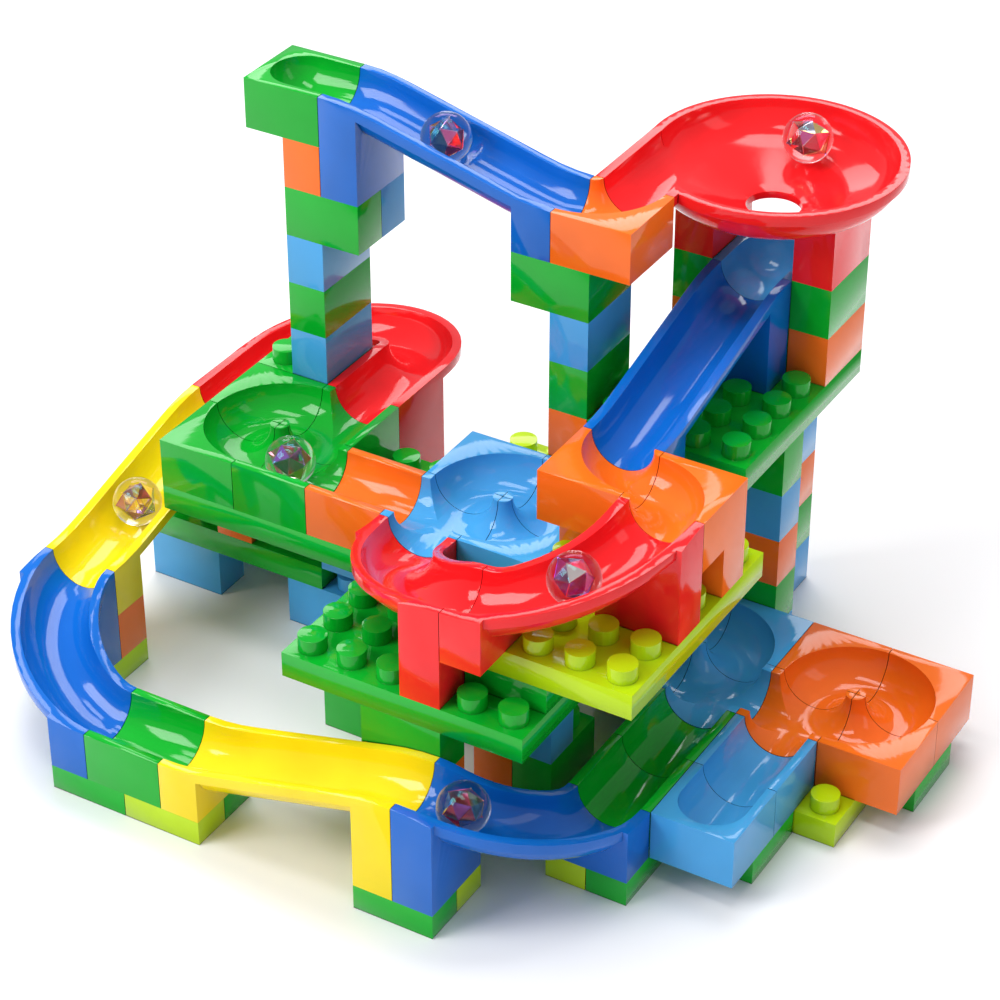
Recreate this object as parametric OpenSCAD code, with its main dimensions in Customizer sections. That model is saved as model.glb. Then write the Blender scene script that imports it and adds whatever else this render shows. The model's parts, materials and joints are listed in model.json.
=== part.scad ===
// Marble run of click-together bricks, ramps, curves, bowl tiles and a funnel.
// Places are given on the building grid: x and y count studs, z counts brick heights,
// and z = 0 is the rim of the highest tile.

/* [Grid] */
// Distance between two studs
pitch = 12; // [11.8:0.1:12.4]
// Height of a full brick, which is also the drop of one ramp
level = 15; // [15:0.5:17]
// Gap left on each side of a piece
gap = 0.1; // [0.05:0.05:0.2]

/* [Bricks] */
// Stud diameter
stud_d = 7.8; // [7.6:0.1:8]
// Stud height
stud_h = 4.3; // [3.8:0.1:4.4]
// Side wall of a brick
wall = 1.6; // [1.2:0.1:1.8]
// Top of a brick or plate
roof = 2; // [1.6:0.1:2.4]
// Outer diameter of the tubes that grip between four studs
tube_d = 9; // [8.8:0.05:9.1]
// Bore of those tubes
tube_bore = 6.4; // [5.5:0.1:7]
// Diameter of the pins that grip between two studs
pin_d = 4; // [3.6:0.1:4.1]

/* [Track] */
// Radius of the marble channel
channel_r = 9.3; // [9:0.1:9.4]
// Outer radius of the shell around an open channel
shell_r = 11.1; // [10.8:0.1:11.3]
// Height of the lip along the rims
lip_h = 3; // [2.5:0.5:4]
// Length over which a slope starts and ends, in studs
ease = 1.2; // [1:0.1:1.5]
// Depth of the hollow that takes the studs below
socket = 4.5; // [4.4:0.1:4.6]

/* [Funnel] */
// Radius of the dish opening
dish_r = 33.3; // [33:0.1:33.6]
// Radius of the rounded wall under the rim
dish_wall_r = 10; // [9:0.5:11]
// Slope of the dish floor in degrees
dish_slope = 18; // [15:1:20]
// Radius of the drain hole
drain_r = 7.7; // [7.5:0.1:8]

/* [Marbles] */
// Marble diameter
marble_d = 14; // [13:0.5:14]
// Clearance between a marble and its channel
marble_gap = 0.3; // [0.2:0.05:0.5]

/* [Hidden] */
GREEN = "#22b03a";
LIME = "#a9cf14";
ROYAL = "#2563c8";
SKY = "#4d9fe2";
ORANGE = "#ff7a2e";
RED = "#e6161c";
YELLOW = "#ffe625";
GLASS = "#d9c4dc";

$fn = 48;
eps = 0.01;
origin = [8, -1, -10.5];          // grid point under the middle of the model
tile = 2 * pitch;                 // side of a tile
half_w = pitch - gap;             // half the width of a track
arc_steps = 14;                   // flats across a half-round section
seam_r = channel_r - 0.1;         // straight channels that meet a ring run just inside it
bend_r = 3 * pitch;               // centre line of the wide curves
ease_angle = 15;                  // turn over which a curve starts and ends its drop
marble_r = marble_d / 2;
inlet_end = 4;                    // the inlet channel stops this far before the dish axis

// ---- Places and small helpers ----

// Moves children to a grid place
module at(p) {
    translate([(p.x - origin.x) * pitch, (p.y - origin.y) * pitch, (p.z - origin.z) * level])
        children();
}

// Height lost after a run x of a slope of length len and total drop, with rounded ends
function drop_at(x, len, drop, soft) =
    let (m = drop / (len - soft))
    x < soft ? m * x * x / (2 * soft)
    : x > len - soft ? drop - m * (len - x) * (len - x) / (2 * soft)
    : m * (x - soft / 2);

// Points of an arc about [0, 0] from angle a to angle b
function arc(r, a, b, n = arc_steps) = [
    for (i = [0:n]) let (t = a + (b - a) * i / n) [r * cos(t), r * sin(t)]
];

// ---- Bricks and plates ----

module stud_grid(nx, ny, h) {
    for (i = [0:nx - 1], j = [0:ny - 1])
        translate([(i + 0.5) * pitch, (j + 0.5) * pitch, h - eps])
            cylinder(d = stud_d, h = stud_h + eps);
}

// Hollow under a piece of nx by ny studs with its gripping tubes or pins left standing
module underside(nx, ny, depth) {
    inset = gap + wall;
    difference() {
        translate([inset, inset, -1])
            cube([nx * pitch - 2 * inset, ny * pitch - 2 * inset, depth + 1]);
        if (nx > 1 && ny > 1)
            for (i = [1:nx - 1], j = [1:ny - 1])
                translate([i * pitch, j * pitch, 0])
                    difference() {
                        cylinder(d = tube_d, h = depth + 1);
                        translate([0, 0, -1])
                            cylinder(d = tube_bore, h = depth + 1);
                    }
        else if (nx * ny > 1)
            for (i = [1:max(nx, ny) - 1])
                translate([nx > 1 ? i * pitch : pitch / 2, ny > 1 ? i * pitch : pitch / 2, 0])
                    cylinder(d = pin_d, h = depth + 1);
    }
}

// Block of nx by ny studs without its hollow
module block(nx, ny, h) {
    translate([gap, gap, 0])
        cube([nx * pitch - 2 * gap, ny * pitch - 2 * gap, h]);
}

module brick(nx, ny, h = level) {
    difference() {
        block(nx, ny, h);
        underside(nx, ny, h - roof);
    }
    stud_grid(nx, ny, h);
}

// Bricks from a list of [x, y, z, nx, ny]
module bricks(list, h = level) {
    for (b = list)
        at(b)
            brick(b[3], b[4], h);
}

// ---- Flat track tiles, two studs square and one level high, rim at the top ----

// Straight channel along x from a to b, in a tile's own corner frame
module straight_cut(a, b, r = channel_r) {
    translate([a, pitch, level])
        rotate([0, 90, 0])
            cylinder(r = r, h = b - a);
}

module turned(quarter) {
    translate([pitch, pitch, 0])
        rotate(quarter * 90)
            translate([-pitch, -pitch, 0])
                children();
}

// Channel ring about a bowl centre, here at the tile's corner [tile, tile]
module ring_cut() {
    translate([tile, tile, level])
        rotate_extrude()
            translate([pitch, 0])
                circle(r = channel_r);
}

module tile_blank() {
    difference() {
        block(2, 2, level);
        underside(2, 2, socket);
    }
}

// Trough tile along x
module trough_tile() {
    difference() {
        tile_blank();
        straight_cut(-1, tile + 1);
    }
}

// Trough closed by a round end, open towards +x
module closed_tile() {
    difference() {
        tile_blank();
        translate([pitch, pitch, level])
            rotate([0, 90, 0])
                rotate_extrude()
                    polygon(concat(
                        [[0, -channel_r]], arc(channel_r, -90, 0), [[channel_r, pitch + 1], [0, pitch + 1]]
                    ));
    }
}

// Quarter of a bowl, its centre at the corner [tile, tile]; doors lists the straight
// channels that leave it: 0 along x and 1 along y
module bowl_tile(doors = []) {
    difference() {
        tile_blank();
        ring_cut();
        for (d = doors)
            if (d == 0)
                straight_cut(-1, tile + 1, seam_r);
            else
                translate([tile, 0, 0])
                    rotate(90)
                        straight_cut(-1, tile + 1, seam_r);
    }
}

// Bowl tile k of 4: 1 front left, 2 front right, 3 back right, 4 back left
module bowl_part(centre, k, doors = []) {
    at(centre)
        rotate((k - 1) * 90)
            translate([-tile, -tile, 0])
                bowl_tile(doors);
}

// ---- Sloping tracks ----

// Place on a path: position, height lost and heading in degrees
function station(x, y, lost, heading) = [x, y, -lost, -sin(heading), cos(heading)];

// Closed solid through stations, each with the same upright section [left, up]
module sweep(stations, section) {
    n = len(section);
    m = len(stations);
    points = [for (s = stations, p = section) [s.x + p.x * s[3], s.y + p.x * s[4], s.z + p.y]];
    sides = [for (i = [0:m - 2], j = [0:n - 1])
        let (a = i * n + j, b = i * n + (j + 1) % n)
        each [[a, b, b + n], [a, b + n, a + n]]];
    caps = [[for (j = [n - 1:-1:0]) j], [for (j = [0:n - 1]) (m - 1) * n + j]];
    polyhedron(points, concat(sides, caps), convexity = 8);
}

// Outline of the shell with its lips; the channel section trims its top
function shell_section() =
    let (a = asin(lip_h / shell_r))
    concat([[half_w, 1], [half_w, -lip_h]], arc(shell_r, -a, a - 180), [[-half_w, -lip_h], [-half_w, 1]]);

// Everything above the rims and inside the channel
function open_section() =
    concat([[1.7 * pitch, level], [1.7 * pitch, 0]], arc(channel_r, 0, -180),
           [[-1.7 * pitch, 0], [-1.7 * pitch, level]]);

// Track along a path: first child the legs, second child their hollows
module track(path, before, after) {
    difference() {
        union() {
            sweep(path, shell_section());
            children(0);
        }
        sweep(concat([before], path, [after]), open_section());
        children(1);
    }
}

// Leg of nx by ny studs at grid place x, y, from the base up past the rim
module leg(x, y, nx, ny) {
    translate([x * pitch, y * pitch, -2 * level])
        block(nx, ny, 2 * level);
}

module leg_hollow(x, y, nx, ny, depth) {
    translate([x * pitch, y * pitch, -2 * level])
        underside(nx, ny, depth);
}

// The low leg stands one level under its rim, so its block stops inside the lips
module low_leg(x, y, nx, ny) {
    translate([x * pitch, y * pitch, -2 * level])
        block(nx, ny, level + lip_h + 3);
}

// Straight ramp of six studs along +x, high at x = 0; its frame lies on the high rim
module ramp() {
    len = 6 * pitch;
    steps = 14;
    soft = ease * pitch;
    path = [for (i = [0:steps])
        let (x = gap + (len - 2 * gap) * i / steps)
        station(x, pitch, drop_at(x, len, level, soft), 0)];
    track(path, station(-3, pitch, 0, 0), station(len + 3, pitch, level, 0)) {
        union() {
            leg(0, 0, 1, 2);
            low_leg(5, 0, 1, 2);
        }
        union() {
            leg_hollow(0, 0, 1, 2, level);
            leg_hollow(5, 0, 1, 2, socket);
        }
    }
}

// Quarter curve about z from angle 0 to 90 (turn = 1) or -90 (turn = -1), high at angle 0
module curve(turn) {
    steps = 16;
    edge = asin(gap / bend_r);
    path = [for (i = [0:steps])
        let (a = edge + (90 - 2 * edge) * i / steps)
        station(bend_r * cos(a), turn * bend_r * sin(a), drop_at(a, 90, level, ease_angle), turn * (90 + a))];
    track(path, station(bend_r, -3 * turn, 0, 90 * turn), station(-3, turn * bend_r, level, 180)) {
        union() {
            leg(2, min(0, turn), 2, 1);
            low_leg(0, turn > 0 ? 2 : -4, 1, 2);
        }
        union() {
            leg_hollow(2, min(0, turn), 2, 1, level - 1);
            leg_hollow(0, turn > 0 ? 2 : -4, 1, 2, socket);
        }
    }
}

// Half turn with two straight ends, from [2, -2] studs round z to [-2, -2] studs
module half_turn() {
    r = 2 * pitch;
    steps = 28;
    lead = [station(r, -r + gap, 0, 90)];
    tail = [station(-r, -r + gap, level, 270)];
    turn_path = [for (i = [0:steps])
        let (a = 180 * i / steps)
        station(r * cos(a), r * sin(a), drop_at(a, 180, level, ease_angle), 90 + a)];
    path = concat(lead, turn_path, tail);
    track(path, station(r, -r - 3, 0, 90), station(-r, -r - 3, level, 270)) {
        union() {
            leg(1, -2, 2, 2);
            low_leg(-3, -2, 2, 1);
        }
        union() {
            leg_hollow(1, -2, 2, 2, level + 2);
            leg_hollow(-3, -2, 2, 1, socket);
        }
    }
}

// ---- Funnel ----

// Outline of the dish from the axis to depth top under the rim, t outside the inner face
function dish_outline(t, top) =
    let (r = dish_wall_r + t, c = dish_r - dish_wall_r, slope = tan(dish_slope),
         wall_arc = arc(r, dish_slope - 90, -asin(top / r), 8))
    concat([[0, -r * cos(dish_slope) - (c + r * sin(dish_slope)) * slope]],
           [for (p = wall_arc) [c + p.x, p.y]]);

// Inlet trough beside the dish, along y from a to b, its top one millimetre over the rim
module inlet(a, b) {
    translate([-tile, b, 0])
        rotate([90, 0, 0])
            linear_extrude(b - a)
                polygon([for (p = shell_section()) [p.x * (1 - gap / half_w), p.y]]);
}

module dish() {
    difference() {
        union() {
            rotate_extrude()
                polygon(concat(
                    dish_outline(roof, lip_h), [[3 * pitch - gap, -lip_h], [3 * pitch - gap, 1], [0, 1]]
                ));
            inlet(gap - 3 * pitch, -1);
            dish_leg(-2);
            dish_leg(1);
        }
        rotate_extrude()
            polygon(concat(dish_outline(0, 0), [[dish_r, level], [0, level]]));
        translate([-tile, -inlet_end, 0])
            rotate([90, 0, 0])
                cylinder(r = seam_r, h = 3 * pitch);
        translate([0, 0, -2 * level])
            cylinder(r = drain_r, h = 2 * level);
        leg_hollow(-2, -1, 1, 2, level - 2);
        leg_hollow(1, -1, 1, 2, level - 2);
        translate([-4 * pitch, -4 * pitch, 0])
            cube([8 * pitch, 8 * pitch, level]);
    }
}

// Leg under the dish, from the base into its floor
module dish_leg(x) {
    translate([x * pitch, -pitch, -2 * level])
        block(1, 2, 1.5 * level);
}

// ---- Bend tiles: a quarter channel with a foot one level high under one half ----

module bend_tile(foot_y) {
    difference() {
        union() {
            block(2, 2, level);
            translate([0, foot_y * pitch, -level])
                block(2, 1, level + 2);
        }
        ring_cut();
        translate([0, foot_y * pitch, -level])
            underside(2, 1, level + socket);
        translate([0, (1 - foot_y) * pitch, 0])
            underside(2, 1, socket);
    }
}

// ---- Marbles ----

module marble(p) {
    translate(p)
        color(GLASS) sphere(r = marble_r);
}

// Centre height of a marble over a straight channel of radius r and slope a, from the rim
function rest_height(r, a = 0) = (marble_r + marble_gap) / cos(a) - r;

// Grid place in millimetres
function mm(p) = [(p.x - origin.x) * pitch, (p.y - origin.y) * pitch, (p.z - origin.z) * level];

ramp_slope = atan(level / (6 - ease) / pitch);
curve_slope = atan(level / ((90 - ease_angle) * PI / 180) / bend_r);

// Marble on a ramp, run studs from its high end
function ramp_marble_z(run) =
    rest_height(channel_r, ramp_slope) - drop_at(run * pitch, 6 * pitch, level, ease * pitch);

// Marble on a quarter curve, turned by a from its high end
function curve_marble_z(a) =
    rest_height(channel_r, curve_slope) - drop_at(a, 90, level, ease_angle);

// ---- Track pieces ----

module start_tile() { color(GREEN) at([0, 0, -1]) closed_tile(); }
module start_ramp() { color(ROYAL) at([2, 0, 0]) ramp(); }
module upper_corner_tile() { color(ORANGE) bowl_part([8, 2, -2], 2); }
module funnel() { color(RED) at([11, 5, -1]) dish(); }
module catch_tile() { color(SKY) at([12, 6, -4]) rotate(180) turned(1) closed_tile(); }
module funnel_ramp() { color(ROYAL) at([10, 4, -3]) rotate(-90) ramp(); }
module bend_tile_left() { color(ORANGE) at([10, -4, -5]) bend_tile(1); }
module bend_tile_right() { color(ORANGE) at([14, -2, -5]) rotate(180) bend_tile(0); }
module red_curve_upper() { color(RED) at([10, -4, -4]) curve(-1); }
module red_curve_lower() { color(RED) at([10, -4, -5]) rotate(-90) curve(-1); }
module centre_bowl_tile(k) { color(SKY) bowl_part([8, -2, -7], k, k == 1 ? [0, 1] : []); }
module upper_trough() { color(ORANGE) at([4, -4, -7]) trough_tile(); }
module green_bowl_tile(k) { color(GREEN) bowl_part([2, -2, -7], k, k == 2 ? [1] : k == 3 ? [1] : []); }
module back_curve() { color(RED) at([1, 2, -6]) half_turn(); }
module left_ramp() { color(YELLOW) at([-2, 0, -7]) rotate(-90) ramp(); }
module left_curve() { color(ROYAL) at([2, -6, -8]) rotate(180) curve(1); }
module front_trough() { color(GREEN) at([2, -10, -10]) trough_tile(); }
module front_ramp() { color(YELLOW) at([10, -8, -8]) rotate(180) ramp(); }
module front_curve() { color(ROYAL) at([10, -6, -8]) rotate(-90) curve(1); }
module side_trough(y) { color(GREEN) at([12, y, -10]) turned(1) trough_tile(); }
module blue_bowl_tile(k) { color(SKY) bowl_part([12, 0, -10], k, k == 2 ? [0, 1] : []); }
module orange_bowl_tile(k) { color(ORANGE) bowl_part([16, 0, -10], k, k == 1 ? [0, 1] : []); }
module last_trough() { color(SKY) at([14, -4, -10]) turned(1) trough_tile(); }
module end_tile() { color(SKY) at([14, -6, -10]) turned(1) closed_tile(); }

// ---- Plates ----

module plate(x, y, z, nx, ny) { at([x, y, z]) brick(nx, ny, level / 2); }
module upper_plate() { color(GREEN) plate(0, -4, -7.5, 6, 4); }
module centre_plate() { color(LIME) plate(6, -4, -7.5, 4, 6); }
module mid_plate() { color(GREEN) plate(6, -8, -7.5, 6, 4); }
module right_plate() { color(LIME) plate(10, -7, -6.5, 4, 6); }
module tower_plate() { color(GREEN) plate(9, 0, -5.5, 4, 6); }
module base_plate() { color(GREEN) plate(-2, -2, -9.5, 5, 4); }
module spacer_plates() {
    color(GREEN) {
        plate(10, -7, -7, 2, 2);
        plate(0, -2, -8, 5, 2);
        plate(4, -2, -9.5, 2, 2);
    }
}
module ground_plates_green() {
    color(GREEN) {
        plate(1, -10, -10.5, 2, 2);
        plate(3, -9, -10.5, 2, 1);
        plate(9, -10, -10.5, 2, 1);
        plate(13, -7, -10.5, 1, 2);
        plate(14, -5, -10.5, 2, 2);
        plate(16, -1, -10.5, 2, 2);
        plate(12, -3, -10.5, 2, 2);
        plate(10, -1, -10.5, 2, 2);
    }
}
module ground_plates_lime() {
    color(LIME) {
        plate(-2, -7, -10.5, 2, 2);
        plate(3, -10, -10.5, 2, 1);
        plate(9, -9, -10.5, 2, 1);
        plate(12, -7, -10.5, 1, 2);
        plate(15, -3, -10.5, 2, 2);
        plate(12, -5, -10.5, 2, 2);
        plate(13, 0, -10.5, 2, 2);
    }
}

// ---- Bricks: [x, y, z, studs along x, studs along y] ----

module start_tower_green() {
    color(GREEN) bricks([
        [1, 0, -3, 2, 1], [1, 0, -5, 1, 2], [0, 0, -7, 2, 2], [0, 0, -8, 2, 2], [0, 0, -9, 2, 2]]);
}
module start_tower_blue() { color(SKY) bricks([[1, 1, -3, 2, 1], [1, 0, -4, 1, 2], [1, 0, -6, 1, 2]]); }
module start_tower_orange() { color(ORANGE) bricks([[1, 0, -2, 1, 2]]); }
module column_bricks_green() {
    color(GREEN) bricks([
        [7, 0, -3, 2, 2], [8, 0, -5, 1, 2], [8, 0, -7, 1, 2], [8, 0, -9.5, 1, 2],
        [12, 4, -4, 1, 2], [9, 4, -4, 1, 2], [10, 4, -5, 2, 2],
        [11, 2, -6.5, 2, 1], [11, 2, -9.5, 2, 1], [11, 4, -6.5, 1, 2], [11, 4, -9.5, 1, 2],
        [8, -8, -8.5, 2, 1], [8, -8, -10.5, 2, 1],
        [9, -5, -8.5, 2, 1], [10, -5, -10.5, 1, 2],
        [5, -5, -10.5, 2, 1], [6, -5, -8.5, 2, 1]]);
}
module column_bricks_blue() {
    color(SKY) bricks([
        [8, 0, -4, 1, 2], [8, 0, -10.5, 1, 2], [10, -2, -6, 2, 1],
        [11, 2, -7.5, 2, 1], [11, 2, -10.5, 2, 1], [11, 4, -7.5, 1, 2], [11, 4, -10.5, 1, 2],
        [9, -5, -9.5, 2, 1], [6, -5, -9.5, 2, 1]]);
}
module column_bricks_orange() {
    color(ORANGE) bricks([
        [8, 0, -6, 1, 2], [8, 0, -8.5, 1, 2], [12, 4, -5, 1, 2], [9, 4, -5, 1, 2],
        [11, 2, -8.5, 2, 1], [11, 4, -8.5, 1, 2],
        [8, -8, -9.5, 2, 1], [9, -5, -10.5, 1, 2]]);
}
module left_base_blue() {
    color(SKY) bricks([
        [-2, -2, -10.5, 2, 1], [2, -2, -10.5, 2, 1], [-2, 1, -10.5, 2, 1], [1, 1, -10.5, 2, 1],
        [3, -2, -9, 2, 1], [4, -2, -10.5, 2, 2], [2, 0, -9, 2, 2]]);
}
module left_base_orange() { color(ORANGE) bricks([[0, -2, -9, 1, 2], [-2, -6, -10, 2, 1], [-2, 0, -9, 2, 1]]); }

// ---- Marbles where they stand on the track ----

module marble_start() { marble(mm([4.76, 1, 0]) + [0, 0, ramp_marble_z(2.76)]); }
module marble_left() { marble(mm([-1, -3.72, -7]) + [0, 0, ramp_marble_z(3.72)]); }
module marble_bowl() { marble(mm([2.95, -3, -6]) + [0, 0, rest_height(seam_r)]); }
module marble_funnel() { marble(mm([11, 5, -1]) + [0, 19.7, -4]); }
module marble_red() {
    marble(mm([10, -4, -4]) + [bend_r * cos(45), -bend_r * sin(45), curve_marble_z(45)]);
}
module marble_front() {
    marble(mm([10, -6, -8]) + [bend_r * sin(20.6), -bend_r * cos(20.6), curve_marble_z(20.6)]);
}

start_tile();
start_ramp();
upper_corner_tile();
funnel();
catch_tile();
funnel_ramp();
bend_tile_left();
bend_tile_right();
red_curve_upper();
red_curve_lower();
centre_bowl_tile(1);  // centre_bowl_tile_1
centre_bowl_tile(2);  // centre_bowl_tile_2
centre_bowl_tile(3);  // centre_bowl_tile_3
centre_bowl_tile(4);  // centre_bowl_tile_4
upper_trough();
green_bowl_tile(1);  // green_bowl_tile_1
green_bowl_tile(2);  // green_bowl_tile_2
green_bowl_tile(3);  // green_bowl_tile_3
green_bowl_tile(4);  // green_bowl_tile_4
back_curve();
left_ramp();
left_curve();
front_trough();
front_ramp();
front_curve();
side_trough(-6);  // side_trough_1
side_trough(-4);  // side_trough_2
blue_bowl_tile(1);  // blue_bowl_tile_1
blue_bowl_tile(2);  // blue_bowl_tile_2
blue_bowl_tile(3);  // blue_bowl_tile_3
blue_bowl_tile(4);  // blue_bowl_tile_4
orange_bowl_tile(1);  // orange_bowl_tile_1
orange_bowl_tile(2);  // orange_bowl_tile_2
orange_bowl_tile(3);  // orange_bowl_tile_3
orange_bowl_tile(4);  // orange_bowl_tile_4
last_trough();
end_tile();
upper_plate();
centre_plate();
mid_plate();
right_plate();
tower_plate();
base_plate();
spacer_plates();
ground_plates_green();
ground_plates_lime();
start_tower_green();
start_tower_blue();
start_tower_orange();
column_bricks_green();
column_bricks_blue();
column_bricks_orange();
left_base_blue();
left_base_orange();
marble_start();
marble_funnel();
marble_bowl();
marble_left();
marble_red();
marble_front();
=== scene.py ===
import json
import math
import random

import bmesh
import bpy
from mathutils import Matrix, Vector


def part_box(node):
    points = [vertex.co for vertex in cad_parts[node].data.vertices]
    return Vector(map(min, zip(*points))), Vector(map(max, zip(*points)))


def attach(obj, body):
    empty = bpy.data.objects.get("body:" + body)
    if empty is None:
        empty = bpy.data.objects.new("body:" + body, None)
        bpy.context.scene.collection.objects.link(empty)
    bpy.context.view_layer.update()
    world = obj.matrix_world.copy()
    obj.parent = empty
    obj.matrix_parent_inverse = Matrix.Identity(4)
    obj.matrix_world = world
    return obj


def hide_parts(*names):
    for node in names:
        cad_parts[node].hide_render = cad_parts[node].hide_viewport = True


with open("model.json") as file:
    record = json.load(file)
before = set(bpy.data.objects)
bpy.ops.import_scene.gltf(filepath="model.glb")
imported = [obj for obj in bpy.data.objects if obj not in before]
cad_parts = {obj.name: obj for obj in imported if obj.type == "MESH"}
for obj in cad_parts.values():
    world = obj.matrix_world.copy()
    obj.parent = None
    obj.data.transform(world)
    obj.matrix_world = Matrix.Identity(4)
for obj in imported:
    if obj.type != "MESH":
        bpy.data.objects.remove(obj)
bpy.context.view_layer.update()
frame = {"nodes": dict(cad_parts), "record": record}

MM = 0.001
SEED = 7                    # for the marbles' cores

# Base colour of each plastic, by material slot
PLASTICS = {
    "green_plastic": (0.001, 0.410, 0.022),
    "lime_plastic": (0.480, 0.700, 0.004),
    "royal_blue_plastic": (0.003, 0.135, 0.570),
    "light_blue_plastic": (0.062, 0.365, 0.750),
    "orange_plastic": (0.970, 0.170, 0.012),
    "red_plastic": (0.900, 0.012, 0.016),
    "yellow_plastic": (0.950, 0.720, 0.006),
}

PLASTIC_IOR = 1.53
FLOW_SCALE = 38.0           # noise scales: colour flow, skin ripple and polish marks
SKIN_SCALE = 260.0
GRAIN_SCALE = 2600.0
SCATTER = (0.5 * MM, 0.5 * MM, 0.5 * MM)

EDGE_ROUND = 0.30 * MM      # rounding of the moulded edges
EDGE_SEGMENTS = 3
WELD_DISTANCE = 0.004 * MM
PAINTED_SHADE_REACH = 0.9 * MM       # how far the painted shade in seams, creases and inside corners reaches
SMOOTH_ANGLE = math.radians(32)

MARBLE_R = 7 * MM
GLASS_IOR = 1.46
CORE_R = 4.6 * MM
CORE_EDGE = 0.09 * MM       # bevel between two facets of a core
MARBLES = ("marble_start", "marble_funnel", "marble_bowl", "marble_left", "marble_red", "marble_front")
CORE_COLOURS = (
    (0.95, 0.20, 0.48), (1.00, 0.74, 0.26), (0.45, 0.47, 0.58), (0.98, 0.94, 0.84),
    (0.45, 0.18, 0.80), (0.92, 0.08, 0.10), (0.30, 0.38, 0.34), (0.92, 0.42, 0.74),
)
CLEAR_FACETS = 0.45         # share of the core's facets that are clear
CLEAR_COLOUR = (0.95, 0.92, 0.96)
SILVERED = 0.7              # metallic share of the other facets

CAMERA_PLACE = (0.3455, -0.5984, 0.5212)
CAMERA_AIM = (-0.42291, 0.71582, -0.55565)
CAMERA_LENS = 109.8         # millimetres on a 36 mm wide sensor
FLOOR_SIDE = 12.0
FLOOR_COLOUR = (0.91, 0.91, 0.915, 1)
SKY_COLOUR = (0.93, 0.95, 1.0, 1)
SKY_STRENGTH = 0.45
LIGHT_AIM = (0, 0, 0.06)
LIGHTS = {                  # place, width and depth in metres, and watts
    "key": ((-0.50, -0.70, 0.80), (0.5, 0.5), 7.0),
    "top": ((-0.15, 0.30, 1.10), (0.60, 0.42), 5.2),
    "strip": ((-0.05, -0.25, 1.10), (0.60, 0.20), 2.8),
    "back": ((-0.65, 1.05, 0.95), (1.2, 0.45), 6.5),
    "side": ((0.95, 0.10, 0.60), (0.3, 0.7), 0.8),
}


# ---- Node helpers ----

def new_material(name):
    mat = bpy.data.materials.new(name)
    mat.use_nodes = True
    tree = mat.node_tree
    shader = next(n for n in tree.nodes if n.type == "BSDF_PRINCIPLED")
    return mat, tree, shader


def add(tree, kind, **inputs):
    node = tree.nodes.new(kind)
    for key, value in inputs.items():
        node.inputs[key.replace("_", " ")].default_value = value
    return node


def ramp_of(tree, source, low, high, at=(0.3, 0.7)):
    """A colour ramp on a noise factor, from low to high."""
    node = tree.nodes.new("ShaderNodeValToRGB")
    node.color_ramp.elements[0].position = at[0]
    node.color_ramp.elements[1].position = at[1]
    node.color_ramp.elements[0].color = low
    node.color_ramp.elements[1].color = high
    tree.links.new(source, node.inputs["Fac"])
    return node


def grey(v):
    return (v, v, v, 1)


# ---- Materials ----

def plastic(slot, colour):
    """Glossy moulded plastic: faint colour flow, polish marks, a soft skin ripple, and painted shade
    that darkens seams, creases and inside corners.
    """
    mat, tree, shader = new_material(slot)
    coords = tree.nodes.new("ShaderNodeTexCoord")
    flow = add(tree, "ShaderNodeTexNoise", Scale=FLOW_SCALE, Detail=3.0, Roughness=0.5)
    skin = add(tree, "ShaderNodeTexNoise", Scale=SKIN_SCALE, Detail=2.0, Roughness=0.45)
    grain = add(tree, "ShaderNodeTexNoise", Scale=GRAIN_SCALE, Detail=2.0, Roughness=0.6)
    for noise in (flow, skin, grain):
        tree.links.new(coords.outputs["Object"], noise.inputs["Vector"])
    deep = tuple(c * 0.90 for c in colour) + (1,)
    light = tuple(min(1.0, c * 1.06 + 0.004) for c in colour) + (1,)
    tint = ramp_of(tree, flow.outputs["Fac"], deep, light)
    # painted shade: ambient occlusion darkens the base colour in gaps between pieces, creases and at
    # the foot of studs
    occlusion_probe = add(tree, "ShaderNodeAmbientOcclusion", Distance=PAINTED_SHADE_REACH)
    occlusion_probe.samples = 8
    painted_shade = ramp_of(tree, occlusion_probe.outputs["AO"], grey(0.08), grey(1.0), at=(0.34, 0.70))
    tint_with_painted_shade = tree.nodes.new("ShaderNodeMixRGB")
    tint_with_painted_shade.blend_type = "MULTIPLY"
    tint_with_painted_shade.inputs["Fac"].default_value = 1.0
    tree.links.new(tint.outputs["Color"], tint_with_painted_shade.inputs["Color1"])
    tree.links.new(painted_shade.outputs["Color"], tint_with_painted_shade.inputs["Color2"])
    tree.links.new(tint_with_painted_shade.outputs["Color"], shader.inputs["Base Color"])
    polish = ramp_of(tree, grain.outputs["Fac"], grey(0.05), grey(0.12))
    tree.links.new(polish.outputs["Color"], shader.inputs["Roughness"])
    ripple = add(tree, "ShaderNodeBump", Strength=0.05, Distance=0.10 * MM)
    fine = add(tree, "ShaderNodeBump", Strength=0.06, Distance=0.02 * MM)
    tree.links.new(skin.outputs["Fac"], ripple.inputs["Height"])
    tree.links.new(grain.outputs["Fac"], fine.inputs["Height"])
    tree.links.new(ripple.outputs["Normal"], fine.inputs["Normal"])
    tree.links.new(fine.outputs["Normal"], shader.inputs["Normal"])
    shader.inputs["IOR"].default_value = PLASTIC_IOR
    shader.inputs["Specular IOR Level"].default_value = 0.30
    shader.inputs["Coat Weight"].default_value = 0.06
    shader.inputs["Coat Roughness"].default_value = 0.08
    shader.inputs["Subsurface Weight"].default_value = 0.04
    shader.inputs["Subsurface Radius"].default_value = SCATTER
    shader.inputs["Subsurface Scale"].default_value = 1.0
    return mat


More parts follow.
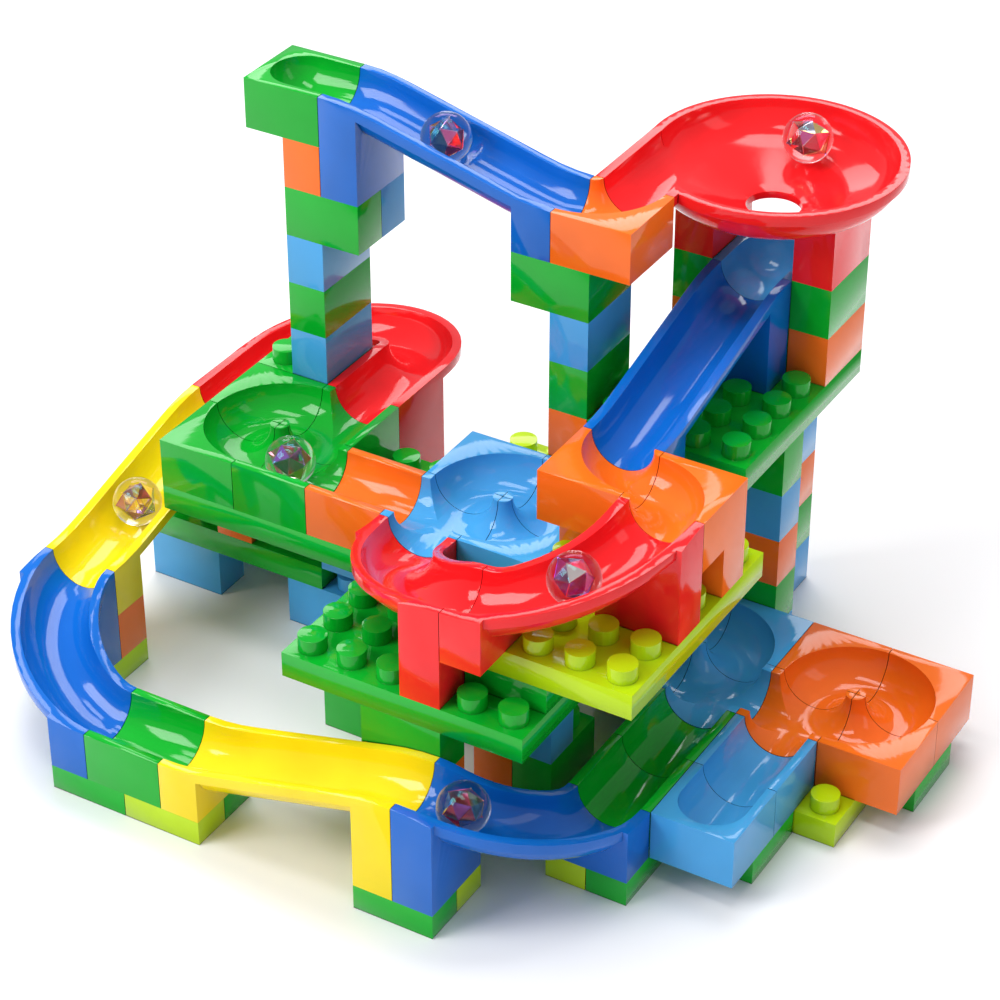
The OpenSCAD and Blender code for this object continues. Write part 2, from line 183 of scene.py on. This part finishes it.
def clear_glass():
    """Polished glass with faint swirls in its surface."""
    mat, tree, shader = new_material("marble_clear_glass")
    coords = tree.nodes.new("ShaderNodeTexCoord")
    swirl = add(tree, "ShaderNodeTexNoise", Scale=180.0, Detail=2.0, Distortion=0.8)
    tree.links.new(coords.outputs["Object"], swirl.inputs["Vector"])
    tint = ramp_of(tree, swirl.outputs["Fac"], (0.93, 0.91, 0.96, 1), (1, 1, 1, 1))
    tree.links.new(tint.outputs["Color"], shader.inputs["Base Color"])
    haze = ramp_of(tree, swirl.outputs["Fac"], grey(0.0), grey(0.03))
    tree.links.new(haze.outputs["Color"], shader.inputs["Roughness"])
    shader.inputs["Transmission Weight"].default_value = 1.0
    shader.inputs["IOR"].default_value = GLASS_IOR
    shader.inputs["Thin Film Thickness"].default_value = 380.0
    shader.inputs["Thin Film IOR"].default_value = 1.35
    return mat


def crystal():
    """Iridescent facets: colour and silvering come from the mesh, under a thin film."""
    mat, tree, shader = new_material("marble_core_facets")
    facet = tree.nodes.new("ShaderNodeAttribute")
    facet.attribute_name = "facet"
    coords = tree.nodes.new("ShaderNodeTexCoord")
    scratch = add(tree, "ShaderNodeTexNoise", Scale=900.0, Detail=3.0)
    tree.links.new(coords.outputs["Object"], scratch.inputs["Vector"])
    tree.links.new(facet.outputs["Color"], shader.inputs["Base Color"])
    polish = ramp_of(tree, scratch.outputs["Fac"], grey(0.04), grey(0.14))
    tree.links.new(polish.outputs["Color"], shader.inputs["Roughness"])
    solid = tree.nodes.new("ShaderNodeAttribute")
    solid.attribute_name = "silvering"
    clear = add(tree, "ShaderNodeInvert", Fac=1.0)
    tree.links.new(solid.outputs["Color"], clear.inputs["Color"])
    tree.links.new(solid.outputs["Color"], shader.inputs["Metallic"])
    tree.links.new(clear.outputs["Color"], shader.inputs["Transmission Weight"])
    shader.inputs["IOR"].default_value = 1.25
    shader.inputs["Thin Film Thickness"].default_value = 460.0
    shader.inputs["Thin Film IOR"].default_value = 1.7
    return mat


def floor_material():
    mat, _, shader = new_material("studio_floor")
    shader.inputs["Base Color"].default_value = FLOOR_COLOUR
    shader.inputs["Roughness"].default_value = 0.55
    return mat


# ---- CAD pieces ----

def round_edges(piece):
    """Moulded edges: corners joined, a small round on each sharp edge, smooth channels."""
    piece.data.polygons.foreach_set("use_smooth", [True] * len(piece.data.polygons))
    weld = piece.modifiers.new("join", "WELD")
    weld.merge_threshold = WELD_DISTANCE
    bevel = piece.modifiers.new("edge_round", "BEVEL")
    bevel.width = EDGE_ROUND
    bevel.segments = EDGE_SEGMENTS
    bevel.limit_method = "ANGLE"
    bevel.angle_limit = SMOOTH_ANGLE
    bevel.harden_normals = True
    bevel.use_clamp_overlap = True


def dress_cad():
    slots = {s["node"]: s["material_slot"] for s in frame["record"]["subparts"]}
    mats = {slot: plastic(slot, colour) for slot, colour in PLASTICS.items()}
    for name, piece in frame["nodes"].items():
        if slots[name] not in mats:
            continue
        piece.data.materials.clear()
        piece.data.materials.append(mats[slots[name]])
        round_edges(piece)


# ---- Marbles ----

def link(name, mesh):
    piece = bpy.data.objects.new(name, mesh)
    bpy.context.scene.collection.objects.link(piece)
    return piece


def glass_ball(name, centre):
    mesh = bpy.data.meshes.new(name)
    form = bmesh.new()
    bmesh.ops.create_icosphere(form, subdivisions=5, radius=MARBLE_R)
    bmesh.ops.translate(form, verts=form.verts, vec=centre)
    for face in form.faces:
        face.smooth = True
    form.to_mesh(mesh)
    form.free()
    return link(name, mesh)


def faceted_core(name, centre, rng):
    """A cut crystal: an uneven icosphere, turned at random, with a colour on each facet."""
    mesh = bpy.data.meshes.new(name)
    form = bmesh.new()
    bmesh.ops.create_icosphere(form, subdivisions=1, radius=CORE_R)
    for vert in form.verts:
        vert.co *= rng.uniform(0.72, 1.0)
    turn = Vector((rng.random(), rng.random(), rng.random())).to_track_quat("Z", "Y")
    for vert in form.verts:
        vert.co = turn @ vert.co
    bmesh.ops.bevel(form, geom=form.edges[:], offset=CORE_EDGE, segments=1, affect="EDGES")
    bmesh.ops.translate(form, verts=form.verts, vec=centre)
    form.to_mesh(mesh)
    form.free()
    facet = mesh.color_attributes.new("facet", "FLOAT_COLOR", "CORNER")
    silvering = mesh.color_attributes.new("silvering", "FLOAT_COLOR", "CORNER")
    for polygon in mesh.polygons:
        colour, level = rng.choice(CORE_COLOURS), SILVERED
        if rng.random() < CLEAR_FACETS:
            colour, level = CLEAR_COLOUR, 0.0
        for corner in polygon.loop_indices:
            facet.data[corner].color = (*colour, 1)
            silvering.data[corner].color = (level, level, level, 1)
    return link(name, mesh)


def make_marbles():
    rng = random.Random(SEED)
    glass = clear_glass()
    facets = crystal()
    for node in MARBLES:
        low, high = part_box(node)
        centre = (low + high) / 2
        body = node + "_body"
        ball = glass_ball(node + "_glass", centre)
        ball.data.materials.append(glass)
        core = faceted_core(node + "_core", centre, rng)
        core.data.materials.append(facets)
        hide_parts(node)
        for piece in (ball, core):
            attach(piece, body)


# ---- Studio ----

def area_light(name, place, size, power):
    lamp = bpy.data.lights.new(name, "AREA")
    lamp.shape = "RECTANGLE"
    lamp.size, lamp.size_y = size
    lamp.energy = power
    obj = bpy.data.objects.new(name, lamp)
    obj.location = place
    obj.rotation_euler = (Vector(LIGHT_AIM) - Vector(place)).to_track_quat("-Z", "Y").to_euler()
    bpy.context.scene.collection.objects.link(obj)


def studio():
    mesh = bpy.data.meshes.new("floor")
    s = FLOOR_SIDE / 2
    mesh.from_pydata([(-s, -s, 0), (s, -s, 0), (s, s, 0), (-s, s, 0)], [], [(0, 1, 2, 3)])
    floor = link("floor", mesh)
    floor.data.materials.append(floor_material())
    world = bpy.data.worlds.new("studio")
    world.use_nodes = True
    sky = world.node_tree.nodes["Background"]
    sky.inputs["Color"].default_value = SKY_COLOUR
    sky.inputs["Strength"].default_value = SKY_STRENGTH
    bpy.context.scene.world = world
    for name, (place, size, power) in LIGHTS.items():
        area_light(name, place, size, power)
    bpy.context.scene.view_settings.view_transform = "Standard"


def camera():
    data = bpy.data.cameras.new("camera")
    data.lens = CAMERA_LENS
    data.sensor_width = 36
    data.clip_end = 30
    obj = bpy.data.objects.new("camera", data)
    obj.location = CAMERA_PLACE
    obj.rotation_euler = Vector(CAMERA_AIM).to_track_quat("-Z", "Y").to_euler()
    bpy.context.scene.collection.objects.link(obj)
    bpy.context.scene.camera = obj


camera()
studio()
dress_cad()
make_marbles()
